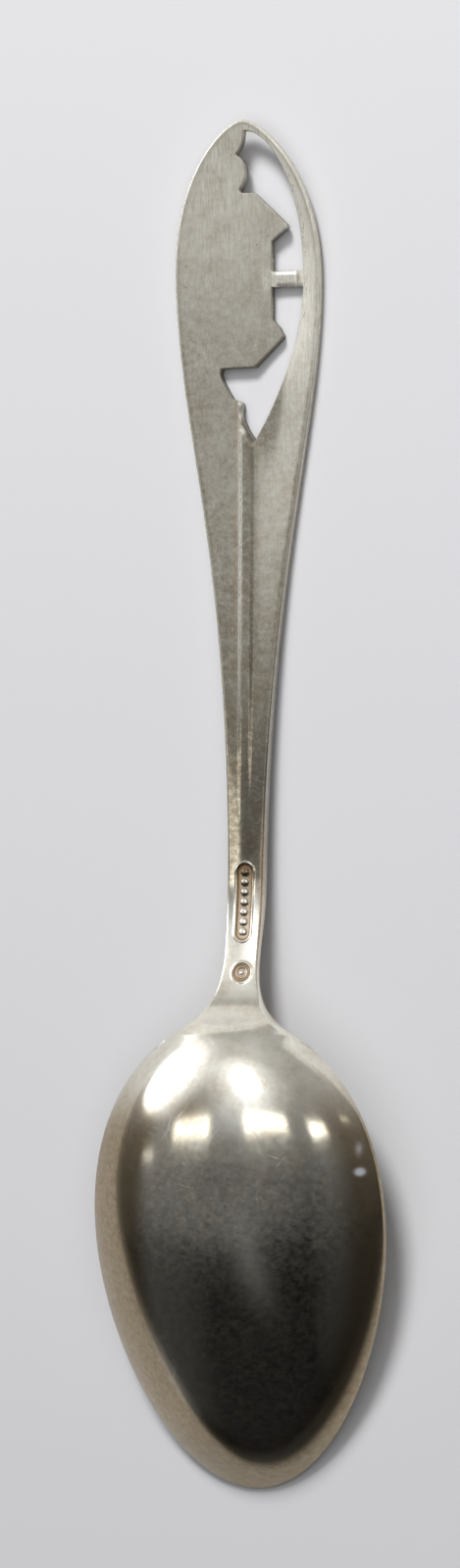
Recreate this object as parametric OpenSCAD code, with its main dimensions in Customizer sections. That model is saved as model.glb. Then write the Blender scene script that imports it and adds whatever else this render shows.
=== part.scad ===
// Souvenir teaspoon with a pierced terminal, lying face down: the back of the bowl
// and of the handle face +Z, the handle runs along +Y and the bowl's tip is at -Y.
// The plan outline and the side profile are chains of cubic curves.

/* [Overall] */
// Length from the bowl's tip to the end of the terminal
spoon_l = 139.7; // [134:0.1:146]
// Widest part of the bowl
bowl_w = 30.8; // [28:0.1:33]
// Widest part of the terminal
terminal_w = 15.4; // [14.4:0.1:16.4]
// Narrowest part of the neck
neck_w = 3.8; // [3.4:0.1:4.4]

/* [Bowl] */
// Length from the bowl's tip to its widest part
bowl_tip_l = 27.5; // [26:0.5:29]
// Length from the widest part to the shoulder
bowl_shoulder_l = 19.8; // [18.5:0.1:21]
// Width across the shoulder, where the bowl meets the handle
shoulder_w = 11; // [10:0.5:12]
// Height of the dome above the table
dome_h = 13.6; // [12.6:0.1:14.6]
// Thickness of the bowl's wall
wall_t = 0.95; // [0.8:0.05:1.2]
// Width of the bowl's rim
rim_w = 1; // [0.8:0.1:1.2]
// Height of the upright edge of the rim
rim_h = 0.5; // [0.3:0.1:0.6]

/* [Handle] */
// Length from the shoulder to the narrowest part of the neck
flare_l = 12.9; // [12:0.1:14]
// Thickness of the terminal where it rests on the table
handle_t = 1.4; // [1.2:0.1:1.6]
// Height of the back of the neck above the table
neck_z = 3.4; // [3.2:0.1:3.8]
// Height of the back where the heel is steepest, at the shoulder
shoulder_z = 9; // [8.8:0.1:9.2]
// Thickness of the neck
neck_t = 1.9; // [1.7:0.1:2.1]
// Rise of the terminal's end above its flat stretch
end_rise = 1.7; // [1.2:0.1:2]
// Thickness at the end of the terminal
end_t = 1.2; // [1:0.1:1.4]

/* [Rib] */
// Width of the rib along the back of the stem
rib_w = 1.8; // [1.4:0.1:2.2]
// Height of the rib above the stem
rib_h = 0.22; // [0.15:0.01:0.3]
// Offset of the rib from the middle of the stem
rib_x = -0.2; // [-0.4:0.1:0.2]

/* [Marks] */
// Width of the long sunk panel on the neck
cartouche_w = 1.6; // [1.2:0.1:1.8]
// Length of the long sunk panel
cartouche_l = 7.8; // [6:0.1:8]
// Diameter of the round sunk mark
punch_d = 1.9; // [1.4:0.1:2]
// Depth of both marks
mark_depth = 0.25; // [0.15:0.01:0.35]

/* [Hidden] */

tip_y = -spoon_l / 2;
end_y = spoon_l / 2;
wide_y = tip_y + bowl_tip_l;
shoulder_y = wide_y + bowl_shoulder_l;
neck_y = shoulder_y + flare_l;
broad_y = end_y - 15.85;

// The flat stretch of the terminal that rests on the table.
flat_top_y = end_y - 23.85;
flat_low_y = end_y - 35.85;

// The heel's foot, where the back turns up towards the bowl, and its steepest place.
foot_y = shoulder_y + 3.9;
foot_z = shoulder_z - 2.8;
steep_y = shoulder_y + 0.8;

// Planes where neighbouring pieces meet.
bowl_joint_y = shoulder_y - 2;
heel_joint_y = shoulder_y + 3.2;
stem_joint_y = neck_y + 4.6;
window_joint_y = end_y - 32.25;
end_joint_x = 0.1;

// Number of steps along one curve, and across the bowl.
STEPS = 10;
FINE_STEPS = 24;
RING_STEPS = 22;
BOWL_STATIONS = 36;
HEEL_STATIONS = 12;

// Roundness of the dome: 1 is flat and 0 is upright at the edge.
CROSS_CUT = 0.5;
LENGTH_CUT = 0.55;

silver = [0.78, 0.77, 0.73];
polished = [0.7, 0.69, 0.66];
warm = [0.82, 0.8, 0.74];

// A cubic curve through p[0] and p[3], with p[1] and p[2] as its handles.
function on_curve(p, t) =
    pow(1 - t, 3) * p[0] + 3 * pow(1 - t, 2) * t * p[1] + 3 * (1 - t) * t * t * p[2] + pow(t, 3) * p[3];
function sample(p, steps, from = 0) = [for (i = [from:steps]) on_curve(p, i / steps)];
function sample_all(chain, steps) = [for (p = chain) each sample(p, steps, 1)];
function reversed(list) = [for (i = [len(list) - 1:-1:0]) list[i]];
function mix(a, b, t) = a + (b - a) * t;

// Right half of the outline, as [x, y], from the terminal's end to the neck.
handle_side = [
    [[0, end_y], [1.7, end_y], [terminal_w / 2, end_y - 4.7], [terminal_w / 2, broad_y]],
    [[terminal_w / 2, broad_y], [terminal_w / 2, broad_y - 15.6], [neck_w / 2, neck_y + 34.9], [neck_w / 2, neck_y]],
    [[neck_w / 2, neck_y], [neck_w / 2, neck_y - 6.5], [shoulder_w / 2 - 4.5, shoulder_y + 2.6],
     [shoulder_w / 2, shoulder_y]]
];
// Right half of the bowl's outline, from the shoulder to the tip.
bowl_side = [
    [[shoulder_w / 2, shoulder_y], [shoulder_w / 2 + 4.5, shoulder_y - 2.6], [bowl_w / 2, wide_y + 11.5],
     [bowl_w / 2, wide_y]],
    [[bowl_w / 2, wide_y], [bowl_w / 2, wide_y - 12.2], [8.5, tip_y], [0, tip_y]]
];
side_points = [for (p = sample_all(concat(handle_side, bowl_side), FINE_STEPS)) [p[1], p[0]]];
function half_width(y) = lookup(y, side_points);

// Height of the back, as [y, z], from the terminal's end to the top of the dome.
curl_l = end_y - flat_top_y;
back_side = [
    [[end_y, handle_t + end_rise], [end_y - curl_l / 3, handle_t + end_rise / 3], [flat_top_y + curl_l / 3, handle_t],
     [flat_top_y, handle_t]],
    [[flat_low_y, handle_t], [flat_low_y - 10, handle_t], [neck_y + 17.6, neck_z - 1], [neck_y + 2.6, neck_z]],
    [[neck_y + 2.6, neck_z], [neck_y - 1.9, neck_z + 0.3], [foot_y + 3, foot_z - 1.25], [foot_y, foot_z]],
    [[foot_y, foot_z], [foot_y - 1, foot_z + 0.42], [steep_y + 1, shoulder_z - 1.35], [steep_y, shoulder_z]],
    [[steep_y, shoulder_z], [steep_y - 2.4, shoulder_z + 3.24], [wide_y + 13.3, dome_h], [wide_y - 0.5, dome_h]]
];
// Height of the front, which faces the table, from the terminal's end to the shoulder.
front_side = [
    [[end_y, handle_t + end_rise - end_t], [end_y - curl_l / 3, (handle_t + end_rise - end_t) / 3],
     [flat_top_y + curl_l / 3, 0], [flat_top_y, 0]],
    [[flat_low_y, 0], [flat_low_y - 10, 0], [neck_y + 17.6, (neck_z - neck_t) / 2], [neck_y + 2.6, neck_z - neck_t]],
    [[neck_y + 2.6, neck_z - neck_t], [neck_y - 1.9, neck_z - neck_t + 0.3], [shoulder_y + 5, rim_z(shoulder_y) - 2.6],
     [shoulder_y - 0.5, rim_z(shoulder_y - 0.5)]]
];
back_points = sample_all(back_side, FINE_STEPS);
front_points = sample_all(front_side, FINE_STEPS);

// A dome's height, from 1 in the middle to 0 at its edge, where s is 1.
function dome(s, cut) = (sqrt(1 - (1 - cut * cut) * s * s) - cut) / (1 - cut);
function rim_z(y) = (y - tip_y) * (0.27 - 0.00246 * (y - tip_y));
function back_z(y) =
    y > wide_y - 0.5 ? lookup(y, back_points)
    : mix(2 * rim_h, dome_h, dome((wide_y - 0.5 - y) / (bowl_tip_l - 0.5), LENGTH_CUT));
function front_z(y) = y > shoulder_y - 0.5 ? lookup(y, front_points) : rim_z(y);

// Across the bowl, equal turns of the dome's arc, from -1 at the left edge to 1.
edge_angle = acos(CROSS_CUT);
function across(i) = sin(mix(-edge_angle, edge_angle, i / RING_STEPS)) / sin(edge_angle);

// One cross-section: an upright edge from z0 to z1, then a dome up to z2.
function section(w, y, z0, z1, z2) = concat(
    [[-w, y, z0]],
    [for (i = [0:RING_STEPS]) [w * across(i), y, mix(z1, z2, dome(across(i), CROSS_CUT))]],
    [[w, y, z0]]);
// The same, seen from inside the bowl: only the dome, from right to left.
function hollow(w, y, z0, z2) = [
    for (i = [RING_STEPS:-1:0]) [w * across(i), y, mix(z0, z2, dome(across(i), CROSS_CUT))]];

// Quads that join ring a to ring a + 1, where each ring has n points.
function ring_faces(a, n) = [
    for (i = [0:n - 1]) let (j = (i + 1) % n) [a * n + i, a * n + j, (a + 1) * n + j, (a + 1) * n + i]];

/* ---- bowl ---- */
function bowl_y(k) = mix(bowl_joint_y, tip_y, (1 - cos(180 * k / BOWL_STATIONS)) / 2);
function hollow_y(y) = wide_y + (y - wide_y) * (y > wide_y ? 1 - 1.3 * rim_w / (bowl_joint_y - wide_y)
                                                         : 1 - rim_w / bowl_tip_l);
function bowl_ring(k) =
    let (y = bowl_y(k), w = max(half_width(y), 0.8), yi = hollow_y(y), wi = w * (1 - 2 * rim_w / bowl_w))
    concat(section(w, y, rim_z(y), rim_z(y) + rim_h, back_z(y)),
           hollow(wi, yi, rim_z(yi), max(back_z(yi) - wall_t, rim_z(yi) + 0.05)));

module bowl() {
    color(polished) {
        outer = RING_STEPS + 3;
        n = outer + RING_STEPS + 1;
        last = BOWL_STATIONS * n;
        points = [for (k = [0:BOWL_STATIONS]) each bowl_ring(k)];
        // At each end: the outer section, the strip of rim under it and the hollow's end.
        neck_end = [
            [for (i = [outer - 1:-1:0]) i],
            [0, n - 1, outer, outer - 1],
            [for (i = [n - 1:-1:outer]) i]
        ];
        tip_end = [for (face = neck_end) [for (i = reversed(face)) last + i]];
        sides = [for (a = [0:BOWL_STATIONS - 1]) each ring_faces(a, n)];
        polyhedron(points, concat(sides, neck_end, tip_end), convexity = 6);
    }
}

/* ---- bowl_heel ---- */
// Where the heel meets the neck its section is a plain rectangle, and it rounds towards the bowl.
function heel_ring(k) =
    let (t = k / HEEL_STATIONS, y = mix(heel_joint_y, bowl_joint_y, t), z0 = front_z(y), z2 = back_z(y))
    section(half_width(y), y, z0, mix(z2, z0 + rim_h, t * t * (3 - 2 * t)), z2);

module bowl_heel() {
    color(warm) {
        n = RING_STEPS + 3;
        points = [for (k = [0:HEEL_STATIONS]) each heel_ring(k)];
        neck_end = [[for (i = [n - 1:-1:0]) i]];
        bowl_end = [[for (i = [0:n - 1]) HEEL_STATIONS * n + i]];
        sides = [for (a = [0:HEEL_STATIONS - 1]) each ring_faces(a, n)];
        polyhedron(points, concat(sides, neck_end, bowl_end), convexity = 4);
    }
}

/* ---- handle ---- */
module handle_plan() {
    right = sample_all(handle_side, STEPS);
    left = [for (p = reversed(right)) [-p[0], p[1]]];
    polygon(concat([[0, end_y]], right, left));
}

module between(low_y, high_y) {
    translate([-terminal_w, low_y]) square([2 * terminal_w, high_y - low_y]);
}

// Extrudes a side view, drawn as [y, z], across the whole width.
module across_width() {
    rotate([90, 0, 90]) linear_extrude(2 * terminal_w, center = true) children();
}

// Side view of the handle; lift raises its back, and from_back starts it on the old back.
module handle_view(lift = 0, from_back = false) {
    back = concat([back_side[0][0]], sample_all(back_side, STEPS));
    handle_back = [for (p = back) if (p[1] <= shoulder_z) p];
    front = concat([front_side[0][0]], sample_all(front_side, STEPS));
    polygon(concat([for (p = handle_back) [p[0], p[1] + lift]], reversed(from_back ? handle_back : front)));
}

// The part of the handle over the plan that is given.
module handle_piece() {
    intersection() {
        linear_extrude(dome_h) children();
        across_width() handle_view();
    }
}

/* ---- neck ---- */
module cartouche_plan() {
    run = cartouche_l - cartouche_w;
    translate([-cartouche_w / 2, -run / 2]) square([cartouche_w, run]);
    for (y = [-run / 2, run / 2]) translate([0, y]) circle(d = cartouche_w, $fn = 32);
}

module marks_plan() {
    translate([0, neck_y - 0.15]) cartouche_plan();
    translate([0.25, neck_y - 7.25]) circle(d = punch_d, $fn = 32);
}

module neck() {
    color(warm) difference() {
        handle_piece() intersection() {
            handle_plan();
            between(heel_joint_y, stem_joint_y);
        }
        intersection() {
            translate([0, 0, -mark_depth]) linear_extrude(2 * dome_h) marks_plan();
            translate([0, 0, -mark_depth]) across_width() handle_view(2, true);
        }
    }
}

/* ---- stem and rib ---- */
module stem() {
    color(silver) handle_piece() difference() {
        intersection() {
            handle_plan();
            between(stem_joint_y, window_joint_y);
        }
        window_plan();
    }
}

module stem_rib() {
    color(silver) intersection() {
        linear_extrude(dome_h) difference() {
            translate([rib_x - rib_w / 2, stem_joint_y]) square([rib_w, end_y - 28.7 - stem_joint_y]);
            window_plan();
        }
        across_width() handle_view(rib_h, true);
    }
}

/* ---- terminal ---- */
// Edge of the pierced window on the panel's side: trees, a house seen end on, and a bush.
function panel_edge() = [for (p = concat(
    sample([[0.1, -1.1], [-0.1, -1.9], [0.1, -2.3], [-0.9, -3.5]], STEPS),
    sample([[-0.9, -3.5], [0.4, -4], [0.4, -5.8], [-0.65, -7.1]], STEPS, 1),
    [[-0.35, -7.4], [0.9, -7.4], [1.3, -7.7], [4.3, -10.7], [4.35, -11], [3.5, -11.6], [2.6, -12.3]],
    [[2.5, -20.3], [3.25, -21.1], [3.7, -22], [3.3, -22.5], [0.65, -25.1], [-2.9, -25.2], [-3, -25.7]],
    sample([[-3, -25.7], [-2.8, -26.5], [-2.2, -27.5], [-1.75, -28.3]], STEPS, 1),
    sample([[-0.9, -28.6], [-0.3, -28.9], [-0.9, -29.6], [-0.7, -30.1]], STEPS),
    sample([[-0.7, -30.1], [-0.4, -31], [0.1, -32], [0.7, -32.65]], STEPS, 1)
)) [p[0], end_y + p[1]]];

// Edge of the window on the bow's side, from its lowest point to its top.
function bow_edge() = [for (p = concat(
    sample([[0.7, -32.65], [5.9, -23.3], [5.9, -18.4], [5.9, -14.85]], STEPS, 1),
    sample([[5.9, -14.85], [5.9, -6.35], [2.8, -1.1], [0.1, -1.1]], STEPS, 1)
)) [p[0], end_y + p[1]]];

module window_plan() {
    polygon(concat(panel_edge(), bow_edge()));
}

// Everything left of a line that runs down inside the window.
module panel_side() {
    line = [[end_joint_x, 1], [end_joint_x, -1.6], [1.2, -3.9], [2.2, -6.4], [4.95, -11], [4.6, -22],
            [2.4, -26.4], [0.6, -30.4], [0.55, -34]];
    polygon(concat([for (p = line) [p[0], end_y + p[1]]],
                   [[-terminal_w, end_y - 34], [-terminal_w, end_y + 1]]));
}

module terminal_plan() {
    difference() {
        intersection() {
            handle_plan();
            between(window_joint_y, end_y + 1);
        }
        window_plan();
    }
}

module terminal_panel() {
    color(silver) handle_piece() intersection() {
        terminal_plan();
        panel_side();
    }
}

module terminal_bow() {
    color(warm) handle_piece() difference() {
        terminal_plan();
        panel_side();
    }
}

module cupola_tie() {
    color(warm) handle_piece() intersection() {
        window_plan();
        translate([2, end_y - 17]) square([5, 1.6]);
    }
}

bowl();
bowl_heel();
neck();
stem();
stem_rib();
terminal_panel();
terminal_bow();
cupola_tie();
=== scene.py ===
"""A souvenir teaspoon with a pierced terminal, lying face down on a pale sheet.

The shape functions work in millimetres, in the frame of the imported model: the handle runs along +Y,
the bowl's tip is at -Y, and the back of the bowl and handle faces +Z.
"""
import math

import bpy
import numpy as np
from mathutils import Matrix, Quaternion, Vector, kdtree
from mathutils.geometry import delaunay_2d_cdt


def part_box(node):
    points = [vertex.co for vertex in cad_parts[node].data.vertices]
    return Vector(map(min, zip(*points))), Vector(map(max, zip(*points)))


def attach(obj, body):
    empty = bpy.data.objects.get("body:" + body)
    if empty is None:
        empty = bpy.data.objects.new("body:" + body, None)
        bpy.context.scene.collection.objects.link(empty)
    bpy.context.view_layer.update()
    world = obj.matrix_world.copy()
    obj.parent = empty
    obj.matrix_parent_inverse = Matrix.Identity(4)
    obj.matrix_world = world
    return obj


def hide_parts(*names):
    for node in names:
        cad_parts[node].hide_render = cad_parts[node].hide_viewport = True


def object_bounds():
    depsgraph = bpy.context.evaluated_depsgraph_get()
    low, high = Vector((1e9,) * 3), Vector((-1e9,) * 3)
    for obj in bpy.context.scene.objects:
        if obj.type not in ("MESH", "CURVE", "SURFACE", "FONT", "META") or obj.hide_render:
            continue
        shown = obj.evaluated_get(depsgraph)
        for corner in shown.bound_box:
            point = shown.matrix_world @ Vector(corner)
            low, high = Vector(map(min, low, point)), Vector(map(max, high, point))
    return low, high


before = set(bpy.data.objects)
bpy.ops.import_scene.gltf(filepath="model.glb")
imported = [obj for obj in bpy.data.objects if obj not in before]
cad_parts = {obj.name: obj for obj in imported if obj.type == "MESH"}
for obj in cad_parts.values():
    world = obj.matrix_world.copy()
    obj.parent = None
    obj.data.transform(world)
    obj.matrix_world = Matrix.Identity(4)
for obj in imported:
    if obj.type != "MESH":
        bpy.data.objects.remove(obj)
cad_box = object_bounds()

MM = 0.001

# ---------------------------------------------------------------- sizes, in millimetres
LOW, HIGH = (np.array(corner) / MM for corner in cad_box)
TIP_Y, END_Y = LOW[1], HIGH[1]
BOWL_HALF = HIGH[0]
DOME_H = HIGH[2]
BOWL_JOINT_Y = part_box("bowl")[1].y / MM
HEEL_JOINT_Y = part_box("bowl_heel")[1].y / MM
STEM_JOINT_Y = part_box("stem")[0].y / MM
WINDOW_JOINT_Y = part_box("terminal_bow")[0].y / MM
RIB_LOW, RIB_HIGH = (np.array(corner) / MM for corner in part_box("stem_rib"))
TIE_LOW_Y, TIE_HIGH_Y = (corner.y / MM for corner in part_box("cupola_tie"))
TERMINAL_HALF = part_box("terminal_bow")[1].x / MM

WIDE_Y = TIP_Y + 27.5
SHOULDER_Y = WIDE_Y + 19.8
NECK_Y = SHOULDER_Y + 12.9
BROAD_Y = END_Y - 15.85
FLAT_TOP_Y = END_Y - 23.85
FLAT_LOW_Y = END_Y - 35.85
FOOT_Y = SHOULDER_Y + 3.9
STEEP_Y = SHOULDER_Y + 0.8
END_JOINT_X = 0.1

SHOULDER_HALF = 5.5
NECK_HALF = 1.9
WALL_T = 0.95
RIM_W = 1.0
RIM_H = 0.5
HEEL_LAND = 1.3
OVAL = 2.5
HANDLE_T = 1.4
NECK_Z = 3.4
NECK_T = 1.9
SHOULDER_Z = 9.0
END_RISE = 1.7
END_T = 1.2
RIB_H = 0.22
FOOT_Z = SHOULDER_Z - 2.8

CARTOUCHE_W = 1.6
CARTOUCHE_L = 7.8
CARTOUCHE_Y = NECK_Y - 0.15
BEAD_PITCH = 1.0
BEAD_R = 0.45
PUNCH_R = 0.95
PUNCH = np.array([0.25, NECK_Y - 7.25])
MARK_DEPTH = 0.25

# How round the edges are.
OUTER_ROUND = 0.24
WINDOW_ROUND = 0.1
FRONT_ROUND = 0.3

# Roundness of the dome: 1 is flat and 0 is upright at the edge.
CROSS_CUT = 0.5
LENGTH_CUT = 0.55

# Places of the pale spot on the bowl, the pale streak above it, and the wide pale patch.
SPOT = (13.45, -36.7)
DRIP = (13.3, -34.4)
BLOOM = (3.0, -45.5)

# Points along one curve of the look-up lines.
FINE = 1500

# Steps over which slopes are taken on the back and on the front.
BACK_STEP = 0.01
FRONT_STEP = 0.5

# Rings of points along rounded edges: as turns of the rounding in degrees, then as insets, and how far the
# grid keeps clear of them.
EDGE_TURNS = (25, 45, 65, 90)
EDGE_RINGS = (0.46, 0.66)
EDGE_CLEAR = 0.74

# Rows of the bowl's dome and hollow, and the inset of the dome's last row.
DOME_ROWS = 84
HOLLOW_ROWS = 50
DOME_INSET = 0.12

# ---------------------------------------------------------------- colours of the silver
CLEAN = (0.95, 0.925, 0.82)
DULL = (0.76, 0.73, 0.61)
TAN = (0.57, 0.41, 0.25)
BEIGE = (0.44, 0.365, 0.25)
BROWN = (0.32, 0.24, 0.15)
STEEL = (0.28, 0.26, 0.205)
UMBER = (0.22, 0.18, 0.13)
# Brown of old dirt, also used as painted shade along the neck's right edge.
DIRT_AND_SHADE = (0.42, 0.26, 0.12)
CHALK = (0.62, 0.66, 0.72)
# Near-black painted shade on the walls round the window.
PAINTED_WALL_SHADE = (0.05, 0.04, 0.03)
GROOVE = (0.3, 0.28, 0.22)

# Colours of the sheet: to the north, and to the south, darker there as painted shade; and the painted dark
# reflection the metal sees past a slanting line.
PAPER_FAR = (0.84, 0.84, 0.86)
PAPER_NEAR = (0.6, 0.6, 0.615)
PAINTED_DARK_REFLECTION = (0.03, 0.03, 0.03)

# Colours of the sky's light and of the ceiling's.
SKY_TINT = (0.95, 0.98, 1.06)
CEILING_TINT = (1, 0.96, 0.88)


# ---------------------------------------------------------------- curves
def smooth(value, start, end):
    """0 before start and 1 after end, with a soft step between them."""
    t = np.clip((np.asarray(value, float) - start) / (end - start), 0, 1)
    return t * t * (3 - 2 * t)


def smoother(value, start, end):
    """Like smooth, with an even softer start and end."""
    t = np.clip((np.asarray(value, float) - start) / (end - start), 0, 1)
    return t**3 * (t * (6 * t - 15) + 10)


def mix(a, b, t):
    return a + (b - a) * t


def curve(points, steps):
    """Points on a cubic curve with the second and third points as its handles."""
    p = np.asarray(points, float)
    t = np.linspace(0, 1, steps + 1)[:, None]
    return (1 - t) ** 3 * p[0] + 3 * (1 - t) ** 2 * t * p[1] + 3 * (1 - t) * t * t * p[2] + t**3 * p[3]


def joined(curves, steps=FINE):
    return np.concatenate([curve(c, steps)[min(i, 1):] for i, c in enumerate(curves)])


def respaced(line, gap):
    """The same open line with its points an equal gap apart."""
    run = np.r_[0, np.cumsum(np.hypot(*np.diff(line, axis=0).T))]
    at = np.linspace(0, run[-1], max(1, round(run[-1] / gap)) + 1)
    return np.column_stack([np.interp(at, run, line[:, 0]), np.interp(at, run, line[:, 1])])


def softened(line, rounds):
    """The same open line with its corners eased."""
    line = line.copy()
    for _ in range(rounds):
        line[1:-1] = (line[:-2] + 2 * line[1:-1] + line[2:]) / 4
    return line


def mirrored(line):
    return (line * [-1, 1])[::-1]


# ---------------------------------------------------------------- outline and side profile
handle_side = [
    [(0, END_Y), (1.7, END_Y), (TERMINAL_HALF, END_Y - 4.7), (TERMINAL_HALF, BROAD_Y)],
    [(TERMINAL_HALF, BROAD_Y), (TERMINAL_HALF, BROAD_Y - 15.6), (NECK_HALF, NECK_Y + 34.9), (NECK_HALF, NECK_Y)],
    [(NECK_HALF, NECK_Y), (NECK_HALF, NECK_Y - 6.5), (SHOULDER_HALF - 4.5, SHOULDER_Y + 2.6),
     (SHOULDER_HALF, SHOULDER_Y)],
]
bowl_side = [
    [(SHOULDER_HALF, SHOULDER_Y), (SHOULDER_HALF + 4.5, SHOULDER_Y - 2.6), (BOWL_HALF, WIDE_Y + 11.5),
     (BOWL_HALF, WIDE_Y)],
    [(BOWL_HALF, WIDE_Y), (BOWL_HALF, WIDE_Y - 12.2), (8.5, TIP_Y), (0, TIP_Y)],
]
side_line = joined(handle_side + bowl_side)


def half_width(y):
    return np.interp(y, side_line[::-1, 1], side_line[::-1, 0])


EASE_POINTS = 70
ease_weights = np.hanning(2 * EASE_POINTS + 3)[1:-1]
eased_y = np.arange(TIP_Y, END_Y, 0.05)
padded_y = np.r_[np.full(EASE_POINTS, TIP_Y), eased_y, np.full(EASE_POINTS, END_Y)]
eased_half = np.convolve(half_width(padded_y), ease_weights / ease_weights.sum(), "valid")


def side_run(high_y, low_y):
    """The right-hand outline from high_y down to low_y."""
    inside = side_line[(side_line[:, 1] < high_y - 1e-6) & (side_line[:, 1] > low_y + 1e-6)]
    return np.vstack([[half_width(high_y), high_y], inside, [half_width(low_y), low_y]])


CURL = END_Y - FLAT_TOP_Y
back_line = joined([
    [(END_Y, HANDLE_T + END_RISE), (END_Y - CURL / 3, HANDLE_T + END_RISE / 3), (FLAT_TOP_Y + CURL / 3, HANDLE_T),
     (FLAT_TOP_Y, HANDLE_T)],
    [(FLAT_LOW_Y, HANDLE_T), (FLAT_LOW_Y - 10, HANDLE_T), (NECK_Y + 17.6, NECK_Z - 1), (NECK_Y + 2.6, NECK_Z)],
    [(NECK_Y + 2.6, NECK_Z), (NECK_Y - 1.9, NECK_Z + 0.3), (FOOT_Y + 3, FOOT_Z - 1.25), (FOOT_Y, FOOT_Z)],
    [(FOOT_Y, FOOT_Z), (FOOT_Y - 1, FOOT_Z + 0.42), (STEEP_Y + 1, SHOULDER_Z - 1.35), (STEEP_Y, SHOULDER_Z)],
    [(STEEP_Y, SHOULDER_Z), (STEEP_Y - 2.4, SHOULDER_Z + 3.24), (WIDE_Y + 13.3, DOME_H), (WIDE_Y - 0.5, DOME_H)],
])


def rim_z(y):
    return (y - TIP_Y) * (0.27 - 0.00246 * (y - TIP_Y))


END_FRONT = HANDLE_T + END_RISE - END_T
front_line = joined([
    [(END_Y, END_FRONT), (END_Y - CURL / 3, END_FRONT / 3), (FLAT_TOP_Y + CURL / 3, 0), (FLAT_TOP_Y, 0)],
    [(FLAT_LOW_Y, 0), (FLAT_LOW_Y - 10, 0), (NECK_Y + 17.6, (NECK_Z - NECK_T) / 2),
     (NECK_Y + 2.6, NECK_Z - NECK_T)],
    [(NECK_Y + 2.6, NECK_Z - NECK_T), (NECK_Y - 1.9, NECK_Z - NECK_T + 0.3),
     (SHOULDER_Y + 5, rim_z(SHOULDER_Y) - 2.6), (SHOULDER_Y - 0.5, rim_z(SHOULDER_Y - 0.5))],
])


def dome(s, cut):
    """A dome's height, from 1 in the middle to 0 at its edge, where s is 1."""
    return (np.sqrt(np.maximum(1 - (1 - cut * cut) * s * s, 0)) - cut) / (1 - cut)


def back_z(y):
    tip = mix(RIM_H, DOME_H, dome(np.clip((WIDE_Y - 0.5 - y) / (WIDE_Y - 0.5 - TIP_Y), 0, 1), LENGTH_CUT))
    return np.where(y > WIDE_Y - 0.5, np.interp(y, back_line[::-1, 0], back_line[::-1, 1]), tip)


def front_z(y):
    return np.where(y > SHOULDER_Y - 0.5, np.interp(y, front_line[::-1, 0], front_line[::-1, 1]), rim_z(y))


# ---------------------------------------------------------------- window
def window_line():
    """The window's edge, counter-clockwise from its top: down the panel's side and up the bow's side."""
    panel = [
        curve([(0.1, -1.1), (-0.1, -1.9), (0.1, -2.3), (-0.9, -3.5)], 12),
        curve([(-0.9, -3.5), (0.4, -4), (0.4, -5.8), (-0.65, -7.1)], 12),
        [(-0.35, -7.4), (0.9, -7.4), (1.3, -7.7), (4.3, -10.7), (4.35, -11), (3.5, -11.6), (2.6, -12.3)],
        [(2.5, -20.3), (3.25, -21.1), (3.7, -22), (3.3, -22.5), (0.65, -25.1), (-2.9, -25.2), (-3, -25.7)],
        curve([(-3, -25.7), (-2.8, -26.5), (-2.2, -27.5), (-1.75, -28.3)], 8),
        curve([(-0.9, -28.6), (-0.3, -28.9), (-0.9, -29.6), (-0.7, -30.1)], 8),
        curve([(-0.7, -30.1), (-0.4, -31), (0.1, -32), (0.7, -32.65)], 8)[1:],
    ]
    bow = [
        curve([(0.7, -32.65), (5.9, -23.3), (5.9, -18.4), (5.9, -14.85)], 200)[1:],
        curve([(5.9, -14.85), (5.9, -6.35), (2.8, -1.1), (0.1, -1.1)], 200)[1:],
    ]
    top = np.array([0, END_Y])
    ease = 6
    gap = 0.05
    return (softened(respaced(np.concatenate(panel) + top, gap), ease),
            softened(respaced(np.concatenate(bow) + top, gap), ease))


panel_edge, bow_edge = window_line()


def cut_at(line, y):
    """The two stretches of a line that crosses y once, each ending with a point at y."""
    above = line[:, 1] > y
    k = int(np.nonzero(above[:-1] != above[1:])[0][0])
    a, b = line[k], line[k + 1]
    t = (y - a[1]) / (b[1] - a[1])
    at = np.array([[mix(a[0], b[0], t), y]])
    return np.concatenate([line[:k + 1], at]), np.concatenate([at, line[k + 1:]])


def between(line, y_from, y_to):
    """The stretch of a line from one height to another, in the line's own direction."""
    after = cut_at(line, y_from)[1] if y_from is not None else line
    return cut_at(after, y_to)[0] if y_to is not None else after


class Edges:
    """Short segments along lines, with a tree of their middles for finding the nearest."""

    def __init__(self, *lines):
        starts = np.concatenate([line[:-1] for line in lines])
        ends = np.concatenate([line[1:] for line in lines])
        keep = np.hypot(*(ends - starts).T) > 1e-7
        self.start, self.along = starts[keep], (ends - starts)[keep]
        self.tree = kdtree.KDTree(len(self.start))
        for k, (x, y) in enumerate(self.start + self.along / 2):
            self.tree.insert((x, y, 0), k)
        self.tree.balance()


def nearest(points, edges):
    """Each point's distance to the nearest segment, and the unit direction away from it."""
    found = np.array([edges.tree.find((x, y, 0))[1] for x, y in points.tolist()])
    options = np.clip(found[:, None] + [-1, 0, 1], 0, len(edges.start) - 1)
    along = edges.along[options]
    offset = points[:, None] - edges.start[options]
    t = np.clip((offset * along).sum(2) / (along**2).sum(2), 0, 1)
    offset = offset - t[..., None] * along
    best = (offset**2).sum(2).argmin(1)
    offset = offset[np.arange(len(points)), best]
    distance = np.hypot(*offset.T)
    return distance, offset / np.maximum(distance, 1e-9)[:, None]


EDGE_GAP = 0.16
outer_right = respaced(side_run(END_Y - 1e-4, BOWL_JOINT_Y), EDGE_GAP)
outer_right = np.vstack([[0, END_Y], outer_right[1:]])
outer_edges = Edges(outer_right, mirrored(outer_right))

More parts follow.
